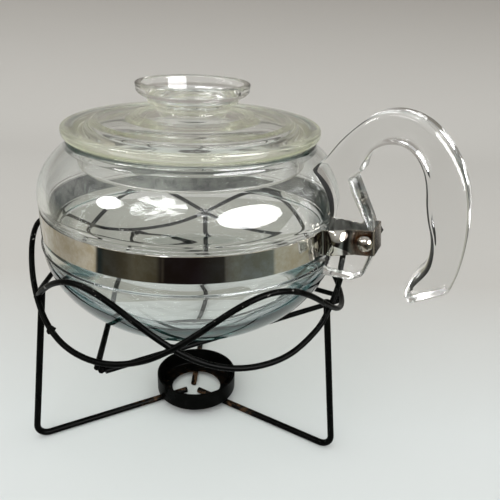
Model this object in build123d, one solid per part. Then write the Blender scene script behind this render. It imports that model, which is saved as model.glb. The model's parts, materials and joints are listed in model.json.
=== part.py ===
"""Glass teapot with lid on a wire candle warmer.

Frame: millimetres, +Z up, origin on the floor under the middle of the stand, handle towards +X.
"""

import os
from math import cos, pi, radians, sin, sqrt

from build123d import *

os.makedirs("parts", exist_ok=True)

# Stand: two wavy rings in antiphase, three legs, three support wires and a candle cup
ring_wire_d = 2.7  # the rings and the support wires
leg_wire_d = 3.2
ring_r = 80.2  # mean radius of the pair of rings
ring_step = 0.3  # one ring runs this far outside the mean, the other this far inside
ring_mid_z = 83.9
wave_height = 17.4
wave_dip = 2.2  # how much the crossings sit below the middle of the wave
first_leg_angle = -6.1  # degrees from the handle; the other legs are a third of a turn apart
leg_top_r = 77.8
leg_top_z = 84.2
foot_r = 87.8
foot_bend_r = 6.0
leg_end_r = 4.0  # the base wires stop this far from the middle
support_angles = [22.0, 149.0, 271.0]  # corners of the triangle of support wires, near the troughs
support_drop = 2.6  # support wires under the troughs of the waves
support_turn = 1.6  # degrees from a corner to the end of a support wire, side by side with the next
cup_r = 22.3
cup_wall = 1.0
cup_bottom_z = 2.9
cup_top_z = 13.4
cup_hole_r = 13.9
cup_bend_r = 1.6
cup_offset = (1.8, 0.8)  # the cup is welded on a little off the axis

# Bowl
bowl_bottom_z = 67.75
bowl_floor = 7.0
bowl_wall = 4.0
inner_rise = 6.5  # the inside oval of the lower bowl is this much shallower than the outside one
lower_r = 74.9
lower_height = 51.5
lower_mid_z = 104.0
upper_r = 75.4
upper_height = 40.0
upper_mid_z = 126.0
groove_r = 74.2
neck_r = 60.9
neck_wall = 3.2
rim_z = 152.7
ridge_z = 102.6  # fine seam left by the mould
ridge_proud = 0.4
ridge_half = 0.6
ridge_root = 0.4  # the seam's section starts this far inside the wall

# Band and clamp
band_low_z = 108.5
band_width = 12.0
band_t = 0.6
band_gap = 0.05
ear_turn = 10.0  # degrees from the handle's middle plane to where the band leaves the bowl
ear_tilt = 6.0  # degrees that the clamp and the handle's block rise away from the bowl
ear_end_x = 95.0
fold_r = 1.0
fold_gap = 0.8  # between the two folded ends, over the block's outer end
screw_x = 92.2
screw_r = 2.0
screw_head_r = 3.7
screw_head_h = 2.4
nut_flats = 7.0
nut_h = 3.2

# Handle
block_half = 8.0
saddle_gap = 0.3
block_round = 1.0
handle_round = 2.5

# Lid
lid_gap = 0.3
knob_top_z = 178.2
knob_r = 27.7
lid_r = 62.7
skirt_r = 55.2
skirt_wall = 3.4
skirt_bottom_z = 139.0

band_mid_z = band_low_z + band_width / 2
ring_wire_r = ring_wire_d / 2
leg_wire_r = leg_wire_d / 2
band_r = groove_r + band_gap + band_t / 2
leg_angles = [first_leg_angle + 120 * i for i in range(3)]


def polar(r, angle, z):
    return (r * cos(radians(angle)), r * sin(radians(angle)), z)


def ring_z(angle, side):
    """Height of a wavy ring's middle line; side is +1 for the outer ring and -1 for the inner one."""
    wave = 3 * radians(angle - first_leg_angle)
    return ring_mid_z - side * wave_height * sin(wave) - wave_dip * cos(2 * wave)


def tube(path, r):
    start = Plane(origin=path @ 0, z_dir=path % 0)
    return sweep(start * Circle(r), path=path)


def wavy_ring(side):
    """Closed ring of round wire, swept in six equal spans that run smoothly into each other."""

    def point(angle):
        return Vector(*polar(ring_r + side * ring_step, angle, ring_z(angle, side)))

    def span(start):
        points = [point(start + 10 * i) for i in range(7)]
        ends = [point(a + 0.01) - point(a - 0.01) for a in (start, start + 60)]
        return tube(Spline(*points, tangents=[t.normalized() for t in ends]), ring_wire_r)

    ring = span(first_leg_angle)
    for i in range(1, 6):
        ring += span(first_leg_angle + 60 * i)
    return ring


def leg(angle):
    path = FilletPolyline(
        (leg_top_r, 0, leg_top_z), (foot_r, 0, leg_wire_r), (leg_end_r, 0, leg_wire_r), radius=foot_bend_r
    )
    return Rot(0, 0, angle) * tube(path, leg_wire_r)


def support_wire(start_angle, end_angle):
    """Straight wire between two corners of the triangle, under the outer ring."""
    r = ring_r + ring_step
    z = ring_z(first_leg_angle + 30, 1) - support_drop
    start = polar(r, start_angle + support_turn, z)
    end = polar(r, end_angle - support_turn, z)
    return tube(Line(start, end), ring_wire_r)


def turned(outline):
    """Solid of revolution about Z from a closed outline in the XZ plane."""
    return revolve(make_face(outline), axis=Axis.Z)


def candle_cup():
    outer = FilletPolyline(
        (cup_hole_r, 0, cup_bottom_z), (cup_r, 0, cup_bottom_z), (cup_r, 0, cup_top_z), radius=cup_bend_r
    )
    inner = FilletPolyline(
        (cup_r - cup_wall, 0, cup_top_z),
        (cup_r - cup_wall, 0, cup_bottom_z + cup_wall),
        (cup_hole_r, 0, cup_bottom_z + cup_wall),
        radius=cup_bend_r - cup_wall,
    )
    cup = turned([outer, Line(outer @ 1, inner @ 0), inner, Line(inner @ 1, outer @ 0)])
    return Pos(*cup_offset) * cup


def oval(a, b, mid_z, r_from, r_to, up):
    """Quarter-oval arc in the XZ plane about the Z axis, between two radii."""

    def point(r):
        return (r, 0, mid_z + up * b * sqrt(max(0, 1 - (r / a) ** 2)))

    if r_from > r_to:
        steps = [r_to + (r_from - r_to) * cos(i * pi / 12) for i in range(7)]
    else:
        steps = [r_from + (r_to - r_from) * sin(i * pi / 12) for i in range(7)]
    return Spline(*[point(r) for r in steps])


def bowl():
    foot_r_out = lower_r * sqrt(1 - ((lower_mid_z - bowl_bottom_z) / lower_height) ** 2)
    lower = oval(lower_r, lower_height, lower_mid_z, foot_r_out, lower_r, -1)
    upper = oval(upper_r, upper_height, upper_mid_z, upper_r, neck_r, 1)
    groove_top = band_low_z + band_width + 0.3
    shoulder = TangentArc(lower @ 1, (groove_r, 0, band_low_z - 0.2), tangent=(0, 0, 1))
    side = Polyline(
        shoulder @ 1,
        (groove_r, 0, groove_top),
        (groove_r + 0.5, 0, groove_top + 0.4),
        (groove_r + 0.5, 0, groove_top + 1.6),
        (groove_r + 0.9, 0, groove_top + 2.0),
        (groove_r + 0.9, 0, groove_top + 3.2),
        upper @ 0,
    )
    in_neck_r = neck_r - neck_wall
    in_upper = oval(
        upper_r - bowl_wall, upper_height - bowl_wall, upper_mid_z, in_neck_r, upper_r - bowl_wall, 1
    )
    floor_z = bowl_bottom_z + bowl_floor
    in_height = lower_height - inner_rise
    in_foot_r = (lower_r - bowl_wall) * sqrt(1 - ((lower_mid_z - floor_z) / in_height) ** 2)
    in_lower = oval(lower_r - bowl_wall, in_height, lower_mid_z, lower_r - bowl_wall, in_foot_r, -1)
    lip = ThreePointArc(
        (neck_r, 0, rim_z - neck_wall / 2),
        (neck_r - neck_wall / 2, 0, rim_z),
        (in_neck_r, 0, rim_z - neck_wall / 2),
    )
    body = turned(
        [
            Line((0, 0, bowl_bottom_z), lower @ 0),
            lower,
            shoulder,
            side,
            upper,
            Line(upper @ 1, lip @ 0),
            lip,
            Line(lip @ 1, in_upper @ 0),
            in_upper,
            Line(in_upper @ 1, in_lower @ 0),
            in_lower,
            Line(in_lower @ 1, (0, 0, floor_z)),
            Line((0, 0, floor_z), (0, 0, bowl_bottom_z)),
        ]
    )
    foot_edge = body.edges().filter_by(GeomType.CIRCLE).sort_by(Axis.Z)[0]
    body = fillet(foot_edge, 9)
    ridge_r = lower_r - ridge_root
    seam = turned(
        [
            ThreePointArc(
                (ridge_r, 0, ridge_z - ridge_half),
                (lower_r + ridge_proud, 0, ridge_z),
                (ridge_r, 0, ridge_z + ridge_half),
            ),
            Line((ridge_r, 0, ridge_z + ridge_half), (ridge_r, 0, ridge_z - ridge_half)),
        ]
    )
    return body + seam


def clamp_tilt(shape):
    """Turns a piece of the clamp up about the line where the band leaves the bowl."""
    hinge_x = band_r * cos(radians(ear_turn))
    return shape.rotate(Axis((hinge_x, 0, band_mid_z), (0, 1, 0)), -ear_tilt)


def screw_hole(r):
    return clamp_tilt(Pos(screw_x, 0, band_mid_z) * Rot(90, 0, 0) * Cylinder(r, 60))


def strap(path):
    end = Plane(origin=path @ 1, x_dir=(0, 0, 1), z_dir=path % 1)
    return sweep(end * Rectangle(band_width, band_t), path=path)


def band():
    """One strap round the bowl; each end bends out over a spring bump to an ear, folded over the block."""
    start_angle = radians(-ear_turn)
    leave = Vector(band_r * cos(start_angle), band_r * sin(start_angle), band_mid_z)
    ear_y = -(block_half + band_gap + band_t / 2)
    turn_in = JernArc(leave, (-sin(start_angle), cos(start_angle), 0), 1.8, -(130 - ear_turn))
    bump = JernArc(turn_in @ 1, turn_in % 1, 5.0, 85)
    run = (ear_y - (bump @ 1).Y - 1.8 * (1 - cos(radians(45)))) / sin(radians(45))
    slope = Line(bump @ 1, bump @ 1 + (bump % 1) * run)
    turn_out = JernArc(slope @ 1, slope % 1, 1.8, -45)
    ear = Line(turn_out @ 1, (ear_end_x, ear_y, band_mid_z))
    fold = JernArc(ear @ 1, (1, 0, 0), fold_r, 90)
    end = Line(fold @ 1, ((fold @ 1).X, -fold_gap / 2, band_mid_z))
    near = clamp_tilt(strap(Wire([turn_in, bump, slope, turn_out, ear, fold, end])))
    round_bowl = CenterArc((0, 0, band_mid_z), band_r, ear_turn - 0.4, 360 - 2 * ear_turn + 0.8)
    whole = strap(Wire(round_bowl)) + near + near.mirror(Plane.XZ)
    return whole - screw_hole(screw_r + 0.2)


def handle():
    """Pressed glass in one piece: a block held by the clamp, a neck and a hook for the hand."""
    outer = Spline(
        (66.6, 0, 148.6),
        (70.6, 0, 152.6),
        (76.1, 0, 160.4),
        (81.9, 0, 166.9),
        (88.4, 0, 172.3),
        (96.0, 0, 175.2),
        (104.4, 0, 174.9),
        (112.4, 0, 171.6),
        (119.6, 0, 165.4),
        (125.4, 0, 157.8),
        (129.6, 0, 149.6),
        (132.2, 0, 140.4),
        (133.4, 0, 130.0),
        (133.4, 0, 119.6),
        (132.3, 0, 109.6),
        (130.6, 0, 102.4),
    )
    inner = Spline(
        (111.9, 0, 94.4),
        (112.2, 0, 98.6),
        (115.0, 0, 104.4),
        (118.6, 0, 110.6),
        (119.7, 0, 117.4),
        (119.0, 0, 124.4),
        (116.8, 0, 131.6),
        (115.2, 0, 138.6),
        (114.2, 0, 145.4),
        (112.2, 0, 152.0),
        (108.2, 0, 158.0),
        (102.4, 0, 161.4),
        (96.0, 0, 161.2),
        (90.8, 0, 158.2),
        (87.8, 0, 153.2),
        (87.0, 0, 148.6),
    )
    tip = FilletPolyline(outer @ 1, (129.4, 0, 99.6), (114.6, 0, 91.2), inner @ 0, radius=1.6)
    block = FilletPolyline(
        inner @ 1,
        (83.2, 0, 144.8),
        (93.8, 0, 123.5),
        (95.7, 0, 110.7),
        (92.7, 0, 99.7),
        (87.0, 0, 96.2),
        (66.0, 0, 96.2),
        (60.0, 0, 140.0),
        outer @ 0,
        radius=block_round,
    )
    glass = extrude(make_face([outer, tip, inner, block]), block_half, both=True)
    edges = glass.faces().filter_by(Axis.Y).edges()
    glass = fillet(edges, handle_round)
    middle_z = (lower_mid_z + upper_mid_z) / 2
    low = oval(lower_r + saddle_gap, lower_height, lower_mid_z, 0, lower_r + saddle_gap, -1)
    high = oval(upper_r + saddle_gap, upper_height + saddle_gap, upper_mid_z, upper_r + saddle_gap, 0, 1)
    side = Polyline(low @ 1, (upper_r + saddle_gap, 0, middle_z), high @ 0)
    saddle = turned([low, side, high, Line(high @ 1, low @ 0)])
    return glass - saddle - screw_hole(screw_r + 0.3)


def clamp_screw():
    seat_y = block_half + band_gap + band_t
    length = 2 * seat_y + nut_h + 1.5
    shank = Pos(0, -seat_y + length / 2, 0) * Rot(90, 0, 0) * Cylinder(screw_r, length)
    dome_r = (screw_head_r**2 + screw_head_h**2) / (2 * screw_head_h)
    head = Sphere(dome_r) & Pos(0, 0, dome_r - screw_head_h / 2) * Box(20, 20, screw_head_h)
    head = Rot(90, 0, 0) * Pos(0, 0, screw_head_h - dome_r) * head
    slot = Pos(0, -screw_head_h + 0.5, 0) * Rot(0, 40, 0) * Box(10, 1.0, 0.9)
    head = Pos(0, -seat_y, 0) * (head - slot)
    return clamp_tilt(Pos(screw_x, 0, band_mid_z) * (shank + head))


def clamp_nut():
    seat_y = block_half + band_gap + band_t
    blank = RegularPolygon(nut_flats / 2, 6, major_radius=False) - Circle(screw_r + 0.05)
    nut = Rot(-90, 0, 0) * extrude(blank, nut_h)
    return clamp_tilt(Pos(screw_x, seat_y, band_mid_z) * nut)


def lid():
    under_z = rim_z + lid_gap
    knob = Polyline(
        (0, 0, knob_top_z - 9.6),
        (18.6, 0, knob_top_z - 9.6),
        (22.6, 0, knob_top_z - 7.8),
        (24.4, 0, knob_top_z - 0.4),
        (25.0, 0, knob_top_z),
        (knob_r - 0.6, 0, knob_top_z),
        (knob_r, 0, knob_top_z - 0.6),
        (knob_r - 0.5, 0, knob_top_z - 4.2),
        (knob_r - 2.2, 0, knob_top_z - 5.8),
        (22.4, 0, knob_top_z - 7.0),
        (21.7, 0, knob_top_z - 9.4),
        (18.4, 0, knob_top_z - 11.2),
    )
    waist = Spline(
        (18.4, 0, knob_top_z - 11.2),
        (17.5, 0, knob_top_z - 12.9),
        (19.4, 0, knob_top_z - 15.0),
        (24.0, 0, knob_top_z - 16.0),
    )
    top = Polyline(
        waist @ 1,
        (31.4, 0, knob_top_z - 16.4),
        (32.3, 0, knob_top_z - 17.3),
        (48.2, 0, knob_top_z - 17.7),
        (49.0, 0, knob_top_z - 18.2),
        (59.6, 0, knob_top_z - 18.9),
    )
    edge = Spline(
        top @ 1,
        (61.8, 0, knob_top_z - 19.6),
        (lid_r, 0, knob_top_z - 21.4),
        (61.9, 0, knob_top_z - 23.6),
        (60.2, 0, under_z),
    )
    under = Polyline(
        edge @ 1,
        (skirt_r + 1.0, 0, under_z),
        (skirt_r, 0, under_z - 1.0),
        (skirt_r, 0, skirt_bottom_z + 1.0),
        (skirt_r - 1.2, 0, skirt_bottom_z),
        (skirt_r - skirt_wall + 0.8, 0, skirt_bottom_z),
        (skirt_r - skirt_wall, 0, skirt_bottom_z + 0.8),
        (skirt_r - skirt_wall - 0.6, 0, under_z),
        (skirt_r - skirt_wall - 3.0, 0, under_z + 2.4),
        (25.0, 0, under_z + 3.4),
    )
    dome = Spline(under @ 1, (16.0, 0, under_z + 6.0), (12.0, 0, under_z + 9.4), (0, 0, under_z + 11.0))
    axis_line = Line(dome @ 1, knob @ 0)
    return turned([knob, waist, top, edge, under, dome, axis_line])


parts = {
    "wave_ring_outer": wavy_ring(1),
    "wave_ring_inner": wavy_ring(-1),
    "candle_cup": candle_cup(),
    "bowl": bowl(),
    "band": band(),
    "handle": handle(),
    "clamp_screw": clamp_screw(),
    "clamp_nut": clamp_nut(),
    "lid": lid(),
}
for name, angle in zip(("leg_handle_side", "leg_back", "leg_front"), leg_angles):
    parts[name] = leg(angle)
for i, name in enumerate(("support_wire_a", "support_wire_b", "support_wire_c")):
    parts[name] = support_wire(support_angles[i], support_angles[i - 2])

for name, shape in parts.items():
    export_step(shape, f"parts/{name}.step")
    print(name, round(shape.volume, 1), shape.bounding_box().size)
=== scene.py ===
"""Looks of the glass teapot on its candle warmer. Metres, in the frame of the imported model."""

import json
from math import asin, cos, pi, radians, sin, sqrt

import bmesh
import bpy
from mathutils import Matrix, Vector
from mathutils import noise as noise_3d


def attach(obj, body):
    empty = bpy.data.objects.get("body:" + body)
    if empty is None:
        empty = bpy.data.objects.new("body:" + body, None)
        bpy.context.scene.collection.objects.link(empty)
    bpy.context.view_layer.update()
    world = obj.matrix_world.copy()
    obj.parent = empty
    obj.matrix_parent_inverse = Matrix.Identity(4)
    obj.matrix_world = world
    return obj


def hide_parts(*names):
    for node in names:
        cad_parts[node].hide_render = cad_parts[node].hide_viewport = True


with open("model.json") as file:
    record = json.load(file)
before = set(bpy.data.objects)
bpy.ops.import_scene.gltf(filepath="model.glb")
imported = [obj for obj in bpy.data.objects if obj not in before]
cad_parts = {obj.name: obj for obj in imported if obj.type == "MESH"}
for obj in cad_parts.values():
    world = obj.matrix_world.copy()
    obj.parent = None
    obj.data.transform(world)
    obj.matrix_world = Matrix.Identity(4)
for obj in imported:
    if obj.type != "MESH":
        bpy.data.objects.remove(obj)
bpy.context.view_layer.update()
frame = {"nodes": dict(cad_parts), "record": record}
nodes = frame["nodes"]

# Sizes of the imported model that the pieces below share, in mm and degrees
lower_r, lower_height, lower_z = 74.9, 51.5, 104.0  # the two half ovals of the bowl
upper_r, upper_height, upper_z = 75.4, 40.0, 126.0
strap_r, strap_z = 74.55, 114.5  # middle of the strap where it goes round the bowl
ear_turn, ear_tilt = 10.0, 6.0  # where the strap leaves the bowl, and how far its ears tilt up
ear_y, ear_end = -8.35, 95.0  # middle plane of the near ear, and where it ends along X
first_leg = -6.1

# Look-only sizes
bump_crown = 2.4  # how far the edges of a spring bump bend in, in mm
screw_place = (0.0921, 0.0, 0.11646)  # metres
white = (1.0, 1.0, 1.0)


# ---------------------------------------------------------------- node helpers
class Tree:
    """A material's or world's node tree, with short calls to add and join nodes."""

    def __init__(self, owner):
        owner.use_nodes = True
        self.tree = owner.node_tree
        self.tree.nodes.clear()

    def node(self, kind, **values):
        made = self.tree.nodes.new(kind)
        for key, value in values.items():
            if hasattr(made, key):
                setattr(made, key, value)
            else:
                made.inputs[key.replace("_", " ")].default_value = value
        return made

    def join(self, out, into):
        self.tree.links.new(out, into)


def set_inputs(made, values):
    for key, value in values.items():
        made.inputs[key].default_value = value


def object_coords(t):
    return t.node("ShaderNodeTexCoord").outputs["Object"]


def axes(t, vector):
    """The X, Y and Z outputs of a vector."""
    parts = t.node("ShaderNodeSeparateXYZ")
    t.join(vector, parts.inputs[0])
    return parts.outputs


def spread(t, value, span, low, high):
    """Moves a value from a span to between low and high, and keeps it there."""
    step = t.node("ShaderNodeMapRange")
    set_inputs(step, {"From Min": span[0], "From Max": span[1], "To Min": low, "To Max": high})
    t.join(value, step.inputs["Value"])
    return step.outputs["Result"]


def threshold(t, value, low, high):
    """Ramp from 0 at low to 1 at high."""
    return spread(t, value, (low, high), 0.0, 1.0)


def within(t, value, start, full, still, end):
    """1 between full and still, falling to 0 at start and end."""
    return times(t, threshold(t, value, start, full), threshold(t, value, end, still))


def times(t, one, other):
    product = t.node("ShaderNodeMath", operation="MULTIPLY")
    t.join(one, product.inputs[0])
    t.join(other, product.inputs[1])
    return product.outputs[0]


def blended(t, share, first, second):
    """Colour mixed from two others; each is an output or an (r, g, b)."""
    mix = t.node("ShaderNodeMix", data_type="RGBA")
    ports = [port for port in mix.inputs if port.type == "RGBA"]
    t.join(share, mix.inputs["Factor"])
    for port, colour in zip(ports, (first, second)):
        if isinstance(colour, tuple):
            port.default_value = (*colour, 1)
        else:
            t.join(colour, port)
    return [port for port in mix.outputs if port.type == "RGBA"][0]


def noise(t, coords, scale, detail=4.0, rough=0.55):
    """Noise from 0 to 1 with about scale bumps per metre."""
    made = t.node("ShaderNodeTexNoise")
    set_inputs(made, {"Scale": scale, "Detail": detail, "Roughness": rough})
    t.join(coords, made.inputs["Vector"])
    return made.outputs["Fac"]


def from_line(t, coords, across, centre=(0, 0, 0)):
    """Distance from a line through centre; across holds 1 for the two axes that are square to it."""
    away = t.node("ShaderNodeVectorMath", operation="SUBTRACT")
    away.inputs[1].default_value = centre
    flat = t.node("ShaderNodeVectorMath", operation="MULTIPLY")
    flat.inputs[1].default_value = across
    length = t.node("ShaderNodeVectorMath", operation="LENGTH")
    t.join(coords, away.inputs[0])
    t.join(away.outputs[0], flat.inputs[0])
    t.join(flat.outputs[0], length.inputs[0])
    return length.outputs["Value"]


def bumped(t, body, height, strength, distance):
    """Gives a shader a relief."""
    relief = t.node("ShaderNodeBump")
    set_inputs(relief, {"Strength": strength, "Distance": distance})
    t.join(height, relief.inputs["Height"])
    t.join(relief.outputs["Normal"], body.inputs["Normal"])


def principled(name, values):
    """New material that shows one Principled shader, with its tree, that shader and its output."""
    mat = bpy.data.materials.new(name)
    t = Tree(mat)
    out = t.node("ShaderNodeOutputMaterial")
    body = t.node("ShaderNodeBsdfPrincipled")
    set_inputs(body, values)
    t.join(body.outputs[0], out.inputs["Surface"])
    return mat, t, body, out


def glowing(name, colour=white, strength=1.0):
    """New material that only gives light, with its tree and shader."""
    mat = bpy.data.materials.new(name)
    t = Tree(mat)
    out = t.node("ShaderNodeOutputMaterial")
    glow = t.node("ShaderNodeEmission")
    set_inputs(glow, {"Color": (*colour, 1), "Strength": strength})
    t.join(glow.outputs[0], out.inputs["Surface"])
    return mat, t, glow


# ---------------------------------------------------------------- materials
edge_facing = 0.42, 0.60  # how far round towards the outline the bowl's glass is painted dark, as painted shade
edge_below = 0.106, 0.098  # and it does so only below the band, in metres
edge_slope = 0.97, 0.90  # and not on the flat bottom: Z of the surface's normal


def painted_dark_edge(t, edge):
    """Painted shade on the side of the lower bowl: its glass colour goes dark towards its outline, where the
    real bowl looks dark.
    """
    facing = t.node("ShaderNodeLayerWeight", Blend=0.5).outputs["Facing"]
    upright = t.node("ShaderNodeMath", operation="ABSOLUTE")
    t.join(axes(t, t.node("ShaderNodeNewGeometry").outputs["Normal"])["Z"], upright.inputs[0])
    low = threshold(t, axes(t, object_coords(t))["Z"], *edge_below)
    steep = threshold(t, upright.outputs[0], *edge_slope)
    share = times(t, times(t, low, steep), threshold(t, facing, *edge_facing))
    return blended(t, share, white, edge)


def milky_rim(t, body, colour, start, full, share):
    """Cloudy edge of pressed glass, between two distances from the axis."""
    rim = threshold(t, from_line(t, object_coords(t), (1, 1, 0)), start, full)
    t.join(spread(t, rim, (0.0, 1.0), 1.0, 1.0 - share), body.inputs["Transmission Weight"])
    t.join(blended(t, rim, white, colour), body.inputs["Base Color"])


def glass(name, tint, density, *, bump, bump_scale, ior=1.5, edge=None, rim=None):
    """Clear glass that light falls straight through; its tint grows with the thickness of the glass."""
    clear = {"Base Color": (*white, 1.0), "Roughness": 0.0, "IOR": ior, "Transmission Weight": 1.0}
    mat, t, body, out = principled(name, clear)
    bumped(t, body, noise(t, object_coords(t), bump_scale, 2.0, 0.4), 1.0, bump)
    # painted shade: the lower bowl's glass darkened towards its outline
    if edge:
        t.join(painted_dark_edge(t, edge), body.inputs["Base Color"])
    if rim:
        milky_rim(t, body, *rim)
    through = t.node("ShaderNodeBsdfTransparent")
    through.inputs["Color"].default_value = (0.985, 0.99, 0.985, 1.0)
    path = t.node("ShaderNodeLightPath")
    surface = body
    for ray in ("Is Shadow Ray", "Is Diffuse Ray"):
        mix = t.node("ShaderNodeMixShader")
        t.join(path.outputs[ray], mix.inputs[0])
        t.join(surface.outputs[0], mix.inputs[1])
        t.join(through.outputs[0], mix.inputs[2])
        surface = mix
    t.join(surface.outputs[0], out.inputs["Surface"])
    absorb = t.node("ShaderNodeVolumeAbsorption")
    set_inputs(absorb, {"Color": (*tint, 1.0), "Density": density})
    t.join(absorb.outputs[0], out.inputs["Volume"])
    return mat


def black_paint():
    """Satin black enamel: orange peel, dull patches, chips on the crests, rust on the wires at the cup."""
    black, dusty = (0.0008, 0.001, 0.0008), (0.0035, 0.0035, 0.003)
    bare, rusty = (0.17, 0.165, 0.155), (0.075, 0.042, 0.022)
    crests = 0.086, 0.099  # height from which the waves are chipped, and where they are most
    near_axis, near_floor = (0.046, 0.030), (0.0040, 0.0030)  # the base wires, where they reach the cup
    mat, t, body, _ = principled("black_paint", {"Metallic": 0.0, "IOR": 1.10})
    coords = object_coords(t)
    height = axes(t, coords)["Z"]
    patches = noise(t, coords, 90.0, 5.0, 0.6)
    t.join(spread(t, patches, (0.3, 0.7), 0.20, 0.42), body.inputs["Roughness"])
    tone = blended(t, threshold(t, patches, 0.45, 0.78), black, dusty)
    chips = threshold(t, noise(t, coords, 420.0, 3.0), 0.655, 0.675)
    tone = blended(t, times(t, chips, threshold(t, height, *crests)), tone, bare)
    by_cup = threshold(t, from_line(t, coords, (1, 1, 0)), *near_axis)
    base_wires = times(t, by_cup, threshold(t, height, *near_floor))
    rust = times(t, base_wires, threshold(t, noise(t, coords, 260.0), 0.50, 0.60))
    t.join(blended(t, rust, tone, rusty), body.inputs["Base Color"])
    bumped(t, body, noise(t, coords, 900.0, 3.0, 0.5), 0.6, 0.00006)
    return mat


def worn_ear_and_crease_shade(t, coords, tone, roughness, dullness):
    """Tone and roughness of steel whose ears are duller and rusty round the screw, with painted shade
    darkening the concave bend between bump and ear.
    """
    ear_tone, crease_shade_tone, rust_tone = (0.36, 0.32, 0.27), (0.035, 0.03, 0.026), (0.20, 0.08, 0.025)
    ear_from, fold_from = (0.0845, 0.0865), (0.0955, 0.0945)  # along X, in metres
    crease_shade_at = 0.0828, 0.0836, 0.0850, 0.0862
    halo_r = 0.0072, 0.0042
    along = axes(t, coords)["X"]
    on_ear = threshold(t, along, *ear_from)
    # painted shade, dark in the concave bend before the ear
    crease_shade = within(t, along, *crease_shade_at)
    halo = threshold(t, from_line(t, coords, (1, 0, 1), screw_place), *halo_r)
    before_fold = threshold(t, along, *fold_from)
    rust = times(t, times(t, halo, before_fold), threshold(t, noise(t, coords, 300.0), 0.30, 0.52))
    for share, over in ((on_ear, ear_tone), (crease_shade, crease_shade_tone), (rust, rust_tone)):
        tone = blended(t, share, tone, over)
    duller = t.node("ShaderNodeMix", data_type="FLOAT")
    t.join(on_ear, duller.inputs["Factor"])
    t.join(roughness, duller.inputs["A"])
    duller.inputs["B"].default_value = dullness
    return tone, duller.outputs["Result"]


def steel(name, colour, low, high, streak, ear=0.0):
    """Rolled stainless steel with fine grain and faint stains; ear is the roughness of its ears."""
    mat, t, body, _ = principled(name, {"Metallic": 1.0})
    coords = object_coords(t)
    cloud = noise(t, coords, 130.0, 6.0, 0.65)
    stained = tuple(part * share for part, share in zip(colour, (0.80, 0.75, 0.64)))
    tone = blended(t, threshold(t, cloud, 0.38, 0.62), stained, colour)
    roughness = spread(t, cloud, (0.35, 0.7), low, high)
    if ear:
        tone, roughness = worn_ear_and_crease_shade(t, coords, tone, roughness, ear)
    t.join(tone, body.inputs["Base Color"])
    t.join(roughness, body.inputs["Roughness"])
    stretch = t.node("ShaderNodeMapping")
    stretch.inputs["Scale"].default_value = streak
    t.join(coords, stretch.inputs["Vector"])
    bumped(t, body, noise(t, stretch.outputs["Vector"], 1.0, 6.0, 0.6), 0.5, 0.000004)
    return mat


def inside_steel_painted_dark():
    """The strap's inner side, rough and painted dark grey as painted shade for the dark reflections it shows
    through the glass, cloudy by noise.
    """
    mat, t, body, _ = principled("strap_inside", {"Metallic": 1.0, "Roughness": 0.38})
    cloud = threshold(t, noise(t, object_coords(t), 130.0, 6.0, 0.65), 0.38, 0.55)
    t.join(blended(t, cloud, (0.08, 0.08, 0.076), (0.18, 0.176, 0.165)), body.inputs["Base Color"])
    return mat


def dress(node, mat):
    """Gives one CAD node its material."""
    thing = nodes[node]
    thing.data.materials.clear()
    thing.data.materials.append(mat)


# edge is the colour of the painted shade at the lower bowl's outline
bowl_glass = glass(
    "bowl_glass", (0.26, 0.60, 0.52), 10.0, bump=0.00002, bump_scale=28.0, edge=(0.02, 0.06, 0.065)
)
lid_rim = (0.80, 0.81, 0.68), 0.0575, 0.0622, 0.22  # colour, from and to these radii, share
lid_glass = glass(
    "lid_glass", (0.72, 0.75, 0.36), 6.0, bump=0.00001, bump_scale=60.0, ior=1.46, rim=lid_rim
)
handle_glass = glass("handle_glass", (0.80, 0.84, 0.78), 4.0, bump=0.00003, bump_scale=60.0)
paint = black_paint()
strap_steel = steel("strap_steel", (0.66, 0.65, 0.62), 0.015, 0.05, (120.0, 120.0, 1500.0), ear=0.20)
strap_inside = inside_steel_painted_dark()
screw_steel = steel("screw_steel", (0.46, 0.44, 0.42), 0.08, 0.20, (300.0, 300.0, 300.0))


# ---------------------------------------------------------------- meshes
def new_mesh(name, points, faces, *mats):
    mesh = bpy.data.meshes.new(name)
    mesh.from_pydata(points, [], faces)
    for mat in mats:
        mesh.materials.append(mat)
    return mesh


def smooth(mesh):
    for face in mesh.polygons:
        face.use_smooth = True


def placed(name, mesh):
    """New object in the scene with this mesh."""
    thing = bpy.data.objects.new(name, mesh)
    bpy.context.collection.objects.link(thing)
    return thing


# ---------------------------------------------------------------- lathed glass
def softened(corners, steps=5):
    """Outline in mm from (r, z) or (r, z, size) corners; a corner with a size is rounded off over it."""
    line = []
    for i, corner in enumerate(corners):
        here = Vector(corner[:2])
        if len(corner) == 2:
            line.append(here)
            continue
        before = Vector(corners[i - 1][:2])
        after = Vector(corners[i + 1][:2])
        size = min(corner[2], (before - here).length * 0.49, (after - here).length * 0.49)
        start = here + (before - here).normalized() * size
        end = here + (after - here).normalized() * size
        for k in range(steps + 1):
            t = k / steps
            line.append(start * (1 - t) ** 2 + here * 2 * t * (1 - t) + end * t**2)
    return line


def quarter(a, b, mid_z, r_from, r_to, side, steps=40):
    """Points along a quarter oval about the axis, between two radii; side is +1 above mid_z, -1 below."""
    first, last = asin(min(1, r_from / a)), asin(min(1, r_to / a))
    angles = [first + (last - first) * i / steps for i in range(steps + 1)]
    return [(a * sin(t), mid_z + side * b * cos(t)) for t in angles]


def lathe(name, outline, segments=256):
    """Solid of revolution, as a mesh in metres, from an outline in mm that starts and ends on the axis."""
    points, rings = [], []
    for r, z in outline:
        if r < 1e-6:
            rings.append([len(points)])
            points.append((0, 0, z / 1000))
            continue
        rings.append(list(range(len(points), len(points) + segments)))
        for k in range(segments):
            a = 2 * pi * k / segments
            points.append((r * cos(a) / 1000, r * sin(a) / 1000, z / 1000))
    faces = []
    for low, high in zip(rings, rings[1:]):
        for k in range(segments):
            n = (k + 1) % segments
            if len(low) == 1:
                faces.append((low[0], high[n], high[k]))
            elif len(high) == 1:
                faces.append((low[k], low[n], high[0]))
            else:
                faces.append((low[k], low[n], high[n], high[k]))
    mesh = new_mesh(name, points, faces)
    smooth(mesh)
    return placed(name, mesh)


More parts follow.
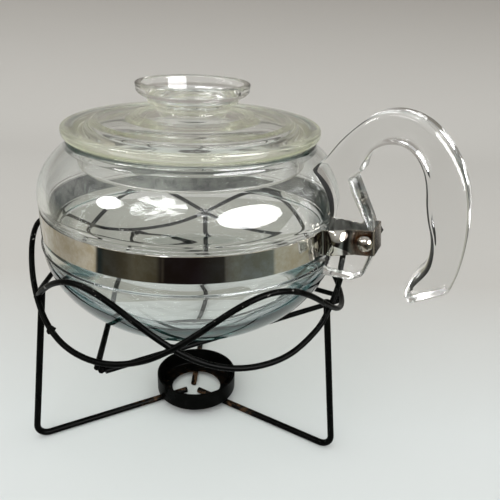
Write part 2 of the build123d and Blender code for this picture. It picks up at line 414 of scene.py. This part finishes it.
def bowl_outline():
    """Outline of the bowl from the middle of its bottom, over the rim, to the middle of its floor."""
    wall, groove = 4.0, 74.2
    bottom, floor, rim, neck, neck_wall = 67.75, 74.75, 152.7, 60.9, 3.2
    inner_rise = 6.5  # the inside oval of the lower bowl is this much shallower than the outside one
    draw_in = 4.3  # height over which the wall draws in to the band's groove
    foot = lower_r * sqrt(1 - ((lower_z - bottom) / lower_height) ** 2)
    start = foot + 2.2
    line = softened([(0, bottom), (foot, bottom, 2.6), (start, bottom + 1.6)])[:-1]
    below = quarter(lower_r, lower_height, lower_z, start, lower_r, -1, 60)
    seam = [(74.87, 101.95), (75.12, 102.15), (75.27, 102.45), (75.27, 102.75), (75.12, 103.05)]
    line += [p for p in below if p[1] < 101.9] + seam
    line += [(74.88, 103.25), (lower_r, 103.8)]
    for k in range(1, 9):
        share = k / 8
        line.append((groove + (lower_r - groove) * (1 - share**2), lower_z + draw_in * share))
    ledges = [
        (groove, 110.0),
        (groove, 120.8, 0.3),
        (groove + 0.5, 121.2, 0.3),
        (groove + 0.5, 122.4, 0.3),
        (groove + 0.9, 122.8, 0.3),
        (groove + 0.9, 124.0, 0.4),
        (upper_r - 0.05, 125.2, 0.4),
        (upper_r, 126.0),
    ]
    line += softened(ledges)
    line += quarter(upper_r, upper_height, upper_z, upper_r, neck, 1, 48)[1:]
    line += [(neck, rim - neck_wall / 2)]
    lip = [radians(180 * k / 10) for k in range(1, 11)]
    half = neck_wall / 2
    line += [(neck - half + half * cos(t), rim - half + half * sin(t)) for t in lip]
    inside = neck - neck_wall
    line += quarter(upper_r - wall, upper_height - wall, upper_z, inside, upper_r - wall, 1, 48)
    line += [(upper_r - wall, 120.0), (lower_r - wall, 108.0)]
    in_height = lower_height - inner_rise
    foot_in = (lower_r - wall) * sqrt(1 - ((lower_z - floor) / in_height) ** 2)
    line += quarter(lower_r - wall, in_height, lower_z, lower_r - wall, foot_in + 5, -1, 60)
    line += softened([line[-1], (foot_in + 0.4, floor, 5.0), (foot_in - 8, floor), (0, floor)], 8)[1:]
    return line


def ripples(start, end, count, height, steps=8):
    """Points along a line from start to end that rises over pressed rings between them."""
    line = []
    for k in range(count * steps + 1):
        share = k / (count * steps)
        r, z = Vector(start).lerp(Vector(end), share)
        line.append((r, z + height * (1 - cos(2 * pi * count * share)) / 2))
    return line


def lid_outline():
    """Outline of the lid, from the middle of its underside to the middle of its knob."""
    top, under, skirt, skirt_bottom = 178.2, 153.0, 55.2, 139.0
    corners = [
        (0, top - 9.6),
        (18.6, top - 9.6, 1.5),
        (22.6, top - 7.8, 1.2),
        (24.4, top - 0.4, 0.4),
        (25.0, top, 0.4),
        (27.1, top, 0.5),
        (27.7, top - 0.6, 0.6),
        (27.2, top - 4.2, 0.6),
        (25.5, top - 5.8, 0.8),
        (22.4, top - 7.0, 0.8),
        (21.7, top - 9.4, 0.8),
        (18.4, top - 11.2, 1.0),
        (17.5, top - 12.9, 1.2),
        (19.4, top - 15.0, 1.6),
        (23.4, top - 15.9, 1.5),
        *ripples((25.0, top - 16.05), (31.0, top - 16.35), 3, 0.9),
        (31.6, top - 16.4, 0.4),
        (32.4, top - 17.3, 0.4),
        *ripples((45.2, top - 17.65), (48.4, top - 17.75), 3, 0.35),
        (49.2, top - 18.2, 0.3),
        (59.6, top - 18.9, 2.0),
        (62.7, top - 19.6, 2.4),
        (62.7, top - 23.2, 2.4),
        (60.2, under, 0.8),
        (skirt + 0.6, under, 0.6),
        (skirt, under - 1.0, 0.5),
        (skirt, skirt_bottom + 1.0, 0.8),
        (skirt - 1.2, skirt_bottom, 0.5),
        (skirt - 2.6, skirt_bottom, 0.5),
        (skirt - 3.4, skirt_bottom + 0.8, 0.6),
        (skirt - 4.0, under, 1.6),
        (skirt - 6.4, under + 2.4, 2.0),
        (25.0, under + 3.4, 3.0),
        (16.0, under + 6.0, 3.0),
        (12.0, under + 9.4, 3.0),
        (6.0, under + 10.9, 2.0),
        (0, under + 11.0),
    ]
    return softened(corners, 6)[::-1]


def smooth_curve(points, steps=6):
    """Points along a smooth curve through the given ones (Catmull-Rom), without the last."""
    line = []
    last = len(points) - 1
    for i in range(last):
        a, b, c, d = (Vector(points[min(max(j, 0), last)]) for j in (i - 1, i, i + 1, i + 2))
        square = 2 * a - 5 * b + 4 * c - d
        cube = 3 * b - a - 3 * c + d
        for k in range(steps):
            t = k / steps
            line.append((2 * b + (c - a) * t + square * t**2 + cube * t**3) / 2)
    return line


def handle_outline():
    """Outline of the handle in its middle plane, as (x, z) in mm: outside, tip, inside, then the block."""
    outside = [
        (66.6, 148.6),
        (70.6, 152.6),
        (76.1, 160.4),
        (81.9, 166.9),
        (88.4, 172.3),
        (96.0, 175.2),
        (104.4, 174.9),
        (112.4, 171.6),
        (119.6, 165.4),
        (125.4, 157.8),
        (129.6, 149.6),
        (132.2, 140.4),
        (133.39, 130.0),
        (133.39, 119.6),
        (132.3, 109.6),
        (130.6, 102.4),
    ]
    inside = [
        (111.9, 94.4),
        (112.2, 98.6),
        (115.0, 104.4),
        (118.6, 110.6),
        (119.7, 117.4),
        (119.0, 124.4),
        (116.8, 131.6),
        (115.2, 138.6),
        (114.2, 145.4),
        (112.2, 152.0),
        (108.2, 158.0),
        (102.4, 161.4),
        (96.0, 161.2),
        (90.8, 158.2),
        (87.8, 153.2),
        (87.0, 148.6),
    ]
    line = [tuple(point) for point in smooth_curve(outside)]
    line += [outside[-1], (129.4, 99.6, 1.8), (114.6, 91.2, 1.8)]
    line += [tuple(point) for point in smooth_curve(inside)]
    line += [inside[-1], (83.2, 144.8, 1.0), (93.8, 123.5, 2.5), (95.7, 110.7, 2.5)]
    line += [(92.7, 99.7, 1.6), (87.0, 96.2, 1.6), (66.0, 96.2), (60.0, 140.0)]
    return softened(line)


def drawn_in(outline, distance):
    """A closed outline moved inwards; stretches that would cross over are drawn together."""
    count = len(outline)
    moved = []
    for i in range(count):
        along = (outline[(i + 1) % count] - outline[i - 1]).normalized()
        moved.append(outline[i] + Vector((along.y, -along.x)) * distance)
    for _ in range(30):
        for i in range(count):
            n = (i + 1) % count
            if (moved[n] - moved[i]).dot(outline[n] - outline[i]) < 0:
                moved[i] = moved[n] = (moved[i] + moved[n]) / 2
    return moved


def rounded_slab(outline, half, rounding, steps=8):
    """Mesh points and faces of a slab with rounded edges, half its thickness to each side of the XZ plane."""
    flat = half - rounding
    turns = [pi * k / 2 / steps for k in range(steps + 1)]
    levels = [(rounding * (1 - cos(turn)), flat + rounding * sin(turn)) for turn in turns]
    rings = [(inward, -out) for inward, out in reversed(levels)] + levels
    points, faces = [], []
    for inward, y in rings:
        points += [(p.x / 1000, y / 1000, p.y / 1000) for p in drawn_in(outline, inward)]
    count = len(outline)
    for i in range(len(rings) - 1):
        for k in range(count):
            n = (k + 1) % count
            faces.append((i * count + k, i * count + n, (i + 1) * count + n, (i + 1) * count + k))
    faces.append(tuple(reversed(range(count))))
    faces.append(tuple(range((len(rings) - 1) * count, len(rings) * count)))
    return points, faces


def bowl_room(gap=0.3):
    """Solid that fills the bowl and leaves a gap round it, to hollow the handle with."""
    low = quarter(lower_r + gap, lower_height, lower_z, 40.0, lower_r + gap, -1)
    high = quarter(upper_r + gap, upper_height + gap, upper_z, upper_r + gap, 40.0, 1)
    return lathe("handle_cutter", [(0, 70.0)] + low + high + [(0, 160.0)])


def pressed_handle():
    """Glass handle: the outline with rounded edges, hollowed where it lies against the bowl."""
    half, rounding = 8.0, 2.5
    slab = rounded_slab(handle_outline(), half, rounding)
    blank = placed("handle_blank", new_mesh("handle_blank", *slab))
    cutter = bowl_room()
    cut = blank.modifiers.new("hollow", "BOOLEAN")
    cut.operation = "DIFFERENCE"
    cut.object = cutter
    cut.solver = "EXACT"
    shaped = bpy.data.meshes.new_from_object(blank.evaluated_get(bpy.context.evaluated_depsgraph_get()))
    bpy.data.objects.remove(cutter)
    bpy.data.objects.remove(blank)
    shaped.name = "handle_clear"
    shaped.materials.clear()
    shaped.materials.append(handle_glass)
    for face in shaped.polygons:
        face.use_smooth = abs(face.normal.y) < 0.999  # all but the two flat sides
    shaped.set_sharp_from_angle(angle=radians(30))
    thing = placed("handle_clear", shaped)
    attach(thing, "pot")
    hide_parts("handle")


def walk(start, heading, moves):
    """Points and headings along a path in plan, mm and degrees; a move is (length,) or (radius, turn)."""
    place, points = Vector(start), []
    for move in moves:
        steps = 1 if len(move) == 1 else max(4, int(abs(move[1]) / 5))
        turn = 0 if len(move) == 1 else move[1] / steps
        length = move[0] if len(move) == 1 else 2 * move[0] * sin(radians(abs(turn)) / 2)
        for _ in range(steps):
            heading += turn / 2
            place = place + Vector((cos(radians(heading)), sin(radians(heading)))) * length
            heading += turn / 2
            points.append((place.copy(), heading))
    return points


def clamp_path():
    """The strap's middle line on the near side, from the bowl over the spring bump to the folded end."""
    bend, bump_r, fold_r = 1.8, 5.0, 1.0
    slope, half_gap = 45, 0.4  # degrees down from the bump; half the space between the folded ends
    start = Vector((strap_r * cos(radians(ear_turn)), -strap_r * sin(radians(ear_turn))))
    into = walk(start, 90 - ear_turn, [(bend, ear_turn - 130)])
    bump = walk(into[-1][0], into[-1][1], [(bump_r, 85)])
    drop = (-ear_y - bend * (1 - cos(radians(slope))) + bump[-1][0].y) / sin(radians(slope))
    bump += walk(bump[-1][0], slope, [(-drop / 8,)] * 8)
    valley = walk(bump[-1][0], slope, [(bend, -slope)])
    flat = walk(valley[-1][0], 0, [((ear_end - valley[-1][0].x) / 4,)] * 4)
    fold = walk(flat[-1][0], 0, [(fold_r, 90)])
    end = walk(fold[-1][0], 90, [(-fold[-1][0].y - half_gap,)])
    line = [(place, heading, 0.0) for place, heading in into]
    line += [(bump[k][0], bump[k][1], sin(pi * (k + 1) / len(bump))) for k in range(len(bump))]
    return line + [(place, heading, 0.0) for place, heading in valley + flat + fold + end]


def strap_section(crown):
    """Section across the strap as (out, up, inside) in mm; crown is how far its edges bend in."""
    half, thick, chamfer, steps = 6.0, 0.3, 0.12, 14
    ups = [-half + chamfer + 2 * (half - chamfer) * k / steps for k in range(steps + 1)]
    outer = [(thick, up, False) for up in ups]
    top = [(thick - chamfer, half, False), (chamfer - thick, half, False)]
    inner = [(-thick, up, True) for up in reversed(ups)]
    bottom = [(chamfer - thick, -half, False), (thick - chamfer, -half, False)]
    points = outer + top + inner + bottom
    return [(out - crown * (up / half) ** 2, up, inside) for out, up, inside in points]


def tilted(place, up, turn):
    """Point in metres of the strap, turned up about the line where the strap leaves the bowl."""
    hinge = strap_r * cos(radians(ear_turn))
    along = place.x - hinge
    x = hinge + along * cos(turn) - up * sin(turn)
    z = strap_z + along * sin(turn) + up * cos(turn)
    return (x / 1000, place.y / 1000, z / 1000)


def strap():
    """The steel band with its two ears in one strip, its spring bumps domed."""
    near = clamp_path()
    far = [(Vector((p.x, -p.y)), 180 - heading, crown) for p, heading, crown in reversed(near)]
    round_bowl, steps = [], 300
    for k in range(steps + 1):
        angle = ear_turn + (360 - 2 * ear_turn) * k / steps
        place = Vector((strap_r * cos(radians(angle)), strap_r * sin(radians(angle))))
        round_bowl.append((place, angle + 90, 0.0))
    line = far + round_bowl + near
    points, faces, insides = [], [], []
    for index, (place, heading, crown) in enumerate(line):
        out = Vector((sin(radians(heading)), -cos(radians(heading))))
        on_bowl = len(far) <= index < len(far) + len(round_bowl)
        turn = 0.0 if on_bowl else radians(ear_tilt)
        for away, up, _ in strap_section(bump_crown * crown):
            points.append(tilted(place + out * away, up, turn))
    flags = [inside for _, _, inside in strap_section(0.0)]
    count = len(flags)
    for i in range(len(line) - 1):
        for k in range(count):
            n = (k + 1) % count
            faces.append((i * count + k, (i + 1) * count + k, (i + 1) * count + n, i * count + n))
            insides.append(flags[k] and flags[n])
    faces.append(tuple(range(count)))
    faces.append(tuple(reversed(range((len(line) - 1) * count, len(line) * count))))
    mesh = new_mesh("band_strap", points, faces, strap_steel, strap_inside)
    smooth(mesh)
    for face, inside in zip(mesh.polygons, insides):
        face.material_index = 1 if inside else 0
    mesh.set_sharp_from_angle(angle=radians(35))
    thing = placed("band_strap", mesh)
    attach(thing, "pot")
    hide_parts("band")


def weld_places():
    """Where the stand's wires are welded, as ((r, angle, z), size of the lump)."""
    crossing_r, crossing_z, leg_size, plain_size = 79.6, 81.7, 2.0, 1.6
    corner_r, corner_z, corner_size = 79.9, 65.8, 1.7
    butt_weld = (80.5, 247.0, 72.4), 1.9
    places = []
    for k in range(6):
        size = leg_size if k % 2 == 0 else plain_size
        places.append(((crossing_r, first_leg + 60 * k, crossing_z), size))
    for corner in (22.0, 149.0, 271.0):
        places.append(((corner_r, corner, corner_z), corner_size))
    return places + [butt_weld]


def welds():
    """Lumps of weld under the paint, where the wires of the stand cross and meet."""
    waviness, apart, unevenness = 0.9, 7.0, 0.35
    made = bmesh.new()
    for index, ((r, angle, z), size) in enumerate(weld_places()):
        place = Vector((r * cos(radians(angle)), r * sin(radians(angle)), z))
        lump = bmesh.ops.create_icosphere(made, subdivisions=4, radius=size)
        for vert in lump["verts"]:
            uneven = noise_3d.noise(vert.co * waviness + Vector((apart * index, 0, 0)))
            vert.co = (place + vert.co * (1 + unevenness * uneven)) / 1000
    mesh = bpy.data.meshes.new("weld_lumps")
    made.to_mesh(mesh)
    made.free()
    mesh.materials.append(paint)
    smooth(mesh)
    thing = placed("weld_lumps", mesh)
    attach(thing, "stand")


def blown_glass(name, node, body, outline, mat):
    """Glass of revolution with a fine, smooth surface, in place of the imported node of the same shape."""
    thing = lathe(name, outline)
    thing.data.materials.append(mat)
    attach(thing, body)
    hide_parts(node)


blown_glass("bowl_clear", "bowl", "pot", bowl_outline(), bowl_glass)
blown_glass("lid_clear", "lid", "lid", lid_outline(), lid_glass)
pressed_handle()
strap()
welds()
dress("clamp_screw", screw_steel)
dress("clamp_nut", screw_steel)
for name in frame["record"]["behaviour"]["bodies"]["stand"]:
    dress(name, paint)


# ---------------------------------------------------------------- stage, light and camera
camera_place = Vector((0.14019, -0.24281, 0.21595))
camera_look = Vector((-0.3783, 0.8529, -0.3598)).normalized()
camera_roll = radians(2.2)
backward = Vector((camera_look.x, camera_look.y, 0)).normalized()  # level, away from the camera
middle = (0.0, 0.0, 0.13)


def stage_material(name, near, behind, wall):
    """Cloth that is palest in front of the pot; painted shade makes it greyer behind the pot and darker where
    it climbs the wall.
    """
    mat, t, body, _ = principled(name, {"Roughness": 0.95, "Specular IOR Level": 0.1})
    place = t.node("ShaderNodeNewGeometry").outputs["Position"]
    away = t.node("ShaderNodeVectorMath", operation="DOT_PRODUCT")
    away.inputs[1].default_value = backward
    t.join(place, away.inputs[0])
    cloth = blended(t, threshold(t, away.outputs["Value"], -0.03, 0.15), near, behind)
    climb = threshold(t, axes(t, place)["Z"], 0.0, 0.25)
    t.join(blended(t, climb, cloth, wall), body.inputs["Base Color"])
    return mat


def backdrop():
    """Pale floor that curves up into a wall behind the object, square to the camera."""
    half_width, floor_from, wall_from, bend, wall_height = 2.4, -1.6, 0.55, 0.35, 1.8
    side = Vector((backward.y, -backward.x, 0))
    line = [(floor_from, 0.0)]
    for k in range(13):
        a = k * pi / 24
        line.append((wall_from + bend * sin(a), bend - bend * cos(a)))
    line.append((wall_from + bend, wall_height))
    points, faces = [], []
    for distance, height in line:
        for across in (-half_width, half_width):
            points.append(backward * distance + side * across + Vector((0, 0, height)))
    for i in range(len(line) - 1):
        faces.append((2 * i, 2 * i + 1, 2 * i + 3, 2 * i + 2))
    # near is the cloth's own pale colour; behind and wall are darker as painted shade
    near, behind, wall = (0.665, 0.695, 0.685), (0.535, 0.525, 0.495), (0.315, 0.297, 0.273)
    mesh = new_mesh("backdrop", points, faces, stage_material("backdrop", near, behind, wall))
    smooth(mesh)
    thing = placed("backdrop", mesh)


def area_light(name, place, aim, size, radiance):
    """Oval softbox; its power follows from how bright its face is."""
    data = bpy.data.lights.new(name, "AREA")
    data.shape = "ELLIPSE"
    data.size, data.size_y = size
    data.energy = radiance * pi * pi * size[0] * size[1] / 4
    lamp = bpy.data.objects.new(name, data)
    bpy.context.collection.objects.link(lamp)
    lamp.location = place
    lamp.rotation_mode = "QUATERNION"
    lamp.rotation_quaternion = (Vector(aim) - Vector(place)).to_track_quat("-Z", "Y")
    return lamp


def mirrored_only(name, mesh):
    """Piece of the studio that the camera meets only in reflections and through glass."""
    thing = placed(name, mesh)
    thing.visible_camera = False
    thing.visible_diffuse = False
    thing.visible_volume_scatter = False
    thing.visible_shadow = False


def umbrella(place, aim, size, panels):
    """Lit umbrella: panels of cloth of unequal brightness between its ribs, drawn back at their ends."""
    depth = 0.04
    to_aim = (Vector(aim) - Vector(place)).to_track_quat("-Z", "Y")
    points, faces, cloths = [Vector(place)], [], []
    for k, radiance in enumerate(panels):
        a = 2 * pi * (k + 0.3) / len(panels)
        rib_end = Vector((cos(a) * size[0] / 2, sin(a) * size[1] / 2, -depth))
        points.append(Vector(place) + to_aim @ rib_end)
        faces.append((0, 1 + k, 1 + (k + 1) % len(panels)))
        cloths.append(glowing(f"umbrella_{k}", strength=radiance)[0])
    mesh = new_mesh("umbrella", points, faces, *cloths)
    for k, face in enumerate(mesh.polygons):
        face.material_index = k
    mirrored_only("umbrella", mesh)


def toward(azimuth, elevation, distance):
    """Point at a distance from the pot, in the direction given in degrees."""
    a, e = radians(azimuth), radians(elevation)
    way = Vector((cos(a) * cos(e), sin(a) * cos(e), sin(e)))
    return Vector(middle) + way * distance


def surroundings():
    """Room light, even where it falls on cloth; mirrored it is dimmer below than above, seen it is grey."""
    world = bpy.data.worlds.new("room")
    bpy.context.scene.world = world
    t = Tree(world)
    out = t.node("ShaderNodeOutputWorld")
    fill = t.node("ShaderNodeBackground", Strength=1.56)
    room = t.node("ShaderNodeBackground", Color=(1.0, 0.985, 0.96, 1))
    seen = t.node("ShaderNodeBackground", Color=(0.50, 0.485, 0.46, 1))
    up = axes(t, t.node("ShaderNodeTexCoord").outputs["Generated"])["Z"]
    t.join(spread(t, up, (-0.1, 0.6), 0.18, 0.60), room.inputs["Strength"])
    path = t.node("ShaderNodeLightPath")
    by_glass = t.node("ShaderNodeMath", operation="MAXIMUM")
    t.join(path.outputs["Is Glossy Ray"], by_glass.inputs[0])
    t.join(path.outputs["Is Transmission Ray"], by_glass.inputs[1])
    surface = fill
    for share, other in ((by_glass.outputs[0], room), (path.outputs["Is Camera Ray"], seen)):
        mix = t.node("ShaderNodeMixShader")
        t.join(share, mix.inputs[0])
        t.join(surface.outputs[0], mix.inputs[1])
        t.join(other.outputs[0], mix.inputs[2])
        surface = mix
    t.join(surface.outputs[0], out.inputs["Surface"])


# Brightness of the table round the pot, as (azimuth in degrees, colour)
card_zones = [
    (-180.0, (0.55, 0.54, 0.48)),
    (-160.0, (0.42, 0.39, 0.32)),
    (-149.0, (0.43, 0.40, 0.33)),
    (-125.5, (0.62, 0.58, 0.48)),
    (-123.5, (0.022, 0.030, 0.032)),
    (-120.0, (0.024, 0.032, 0.032)),
    (-119.0, (0.046, 0.046, 0.038)),
    (-111.0, (0.050, 0.048, 0.038)),
    (-103.0, (0.066, 0.060, 0.042)),
    (-97.0, (0.105, 0.097, 0.070)),
    (-91.0, (0.095, 0.088, 0.062)),
    (-82.0, (0.075, 0.069, 0.050)),
    (-81.2, (0.020, 0.017, 0.014)),
    (-79.8, (0.022, 0.018, 0.015)),
    (-79.2, (0.085, 0.075, 0.060)),
    (-78.4, (0.013, 0.010, 0.009)),
    (-58.0, (0.014, 0.010, 0.011)),
    (-46.0, (0.026, 0.026, 0.024)),
    (-40.6, (0.032, 0.032, 0.030)),
    (-39.6, (0.108, 0.110, 0.102)),
    (-33.0, (0.160, 0.178, 0.165)),
    (-25.7, (0.140, 0.158, 0.150)),
    (-7.0, (0.170, 0.200, 0.190)),
    (-5.0, (0.45, 0.46, 0.39)),
    (12.0, (0.46, 0.45, 0.37)),
    (27.0, (0.31, 0.30, 0.22)),
    (38.0, (0.10, 0.095, 0.085)),
    (45.0, (0.030, 0.030, 0.028)),
    (62.0, (0.030, 0.030, 0.028)),
    (64.0, (0.50, 0.49, 0.46)),
    (158.0, (0.60, 0.58, 0.53)),
]


def arc_strip(name, first, last, near, far, mat):
    """Strip about the Z axis between azimuths in degrees, from one (radius, height) to another."""
    points, faces = [], []
    steps = int((last - first) / 2)
    for i in range(steps + 1):
        a = radians(first + (last - first) * i / steps)
        for r, z in (near, far):
            points.append((r * cos(a), r * sin(a), z))
    for i in range(steps):
        faces.append((2 * i, 2 * i + 1, 2 * i + 3, 2 * i + 2))
    mirrored_only(name, new_mesh(name, points, faces, mat))


def zone_glow():
    """Light of the table round the pot, by azimuth."""
    mat, t, glow = glowing("reflected_table")
    place = axes(t, object_coords(t))
    angle = t.node("ShaderNodeMath", operation="ARCTAN2")
    t.join(place["Y"], angle.inputs[0])
    t.join(place["X"], angle.inputs[1])
    ramp = t.node("ShaderNodeValToRGB")
    stops = ramp.color_ramp.elements
    while len(stops) < len(card_zones):
        stops.new(0.5)
    for stop, (azimuth, colour) in zip(stops, card_zones):
        stop.position = (azimuth + 180) / 360
        stop.color = (*colour, 1)
    t.join(spread(t, angle.outputs[0], (-pi, pi), 0.0, 1.0), ramp.inputs["Fac"])
    t.join(ramp.outputs["Color"], glow.inputs["Color"])
    return mat


def reflected_room():
    """What the glass and the steel see: the table's edge, the dark room, the cloth's shaded part behind."""
    above_floor, wall_r, wall_top = 0.001, 0.66, 0.45
    dark = glowing("dark_side", (0.03, 0.03, 0.03))[0]
    shade = glowing("shaded_cloth", (0.37, 0.365, 0.32))[0]
    arc_strip("reflected_table", -200, 62, (0.20, above_floor), (2.0, above_floor), zone_glow())
    arc_strip("dark_side", 34, 62, (wall_r, 0.0), (wall_r, wall_top), dark)
    arc_strip("shaded_cloth", 96, 166, (0.09, above_floor), (0.36, above_floor), shade)


def camera():
    """Camera at the photograph's view."""
    data = bpy.data.cameras.new("camera")
    data.lens = 41.26
    data.sensor_width = 36.0
    data.shift_y = -0.06
    data.clip_start = 0.01
    data.clip_end = 20.0
    thing = bpy.data.objects.new("camera", data)
    bpy.context.collection.objects.link(thing)
    right = Vector((camera_look.y, -camera_look.x, 0)).normalized()
    up = right.cross(camera_look)
    rolled_right = right * cos(camera_roll) + up * sin(camera_roll)
    rolled_up = up * cos(camera_roll) - right * sin(camera_roll)
    turn = Matrix((rolled_right, rolled_up, -camera_look)).transposed()
    thing.matrix_world = Matrix.Translation(camera_place) @ turn.to_4x4()
    bpy.context.scene.camera = thing


umbrella_panels = (10.0, 3.0, 8.0, 2.5, 9.0, 1.0, 0.0, 0.8, 4.0, 1.5, 6.0, 2.0)
# Each is (azimuth, elevation, distance), size, brightness in mirror images, brightness as a lamp
softboxes = {
    "right": ((-19, 22, 0.75), (0.62, 0.50), 16.0, 0.7),
    "middle": ((-88, 44, 0.85), (0.50, 0.44), None, 1.7),
    "left": ((-127, 32, 0.95), (0.28, 0.30), 18.0, 4.0),
}


def lamps():
    """Two softboxes and an umbrella; the glass mirrors one shape and the cloth is lit by another."""
    for side, (way, size, glint, glow) in softboxes.items():
        if glint is None:
            umbrella(toward(*way), middle, size, umbrella_panels)
        else:
            mirrored = area_light(f"softbox_{side}_mirrored", toward(*way), middle, size, glint)
            mirrored.visible_diffuse = False
        lit = area_light(f"softbox_{side}", toward(*way), middle, size, glow)
        lit.visible_glossy = False
        lit.visible_transmission = False


backdrop()
surroundings()
camera()
reflected_room()
lamps()
scene = bpy.context.scene
scene.view_settings.view_transform = "Standard"
scene.cycles.max_bounces = 32
scene.cycles.transmission_bounces = 32
scene.cycles.glossy_bounces = 12
scene.cycles.transparent_max_bounces = 32
scene.cycles.caustics_refractive = False
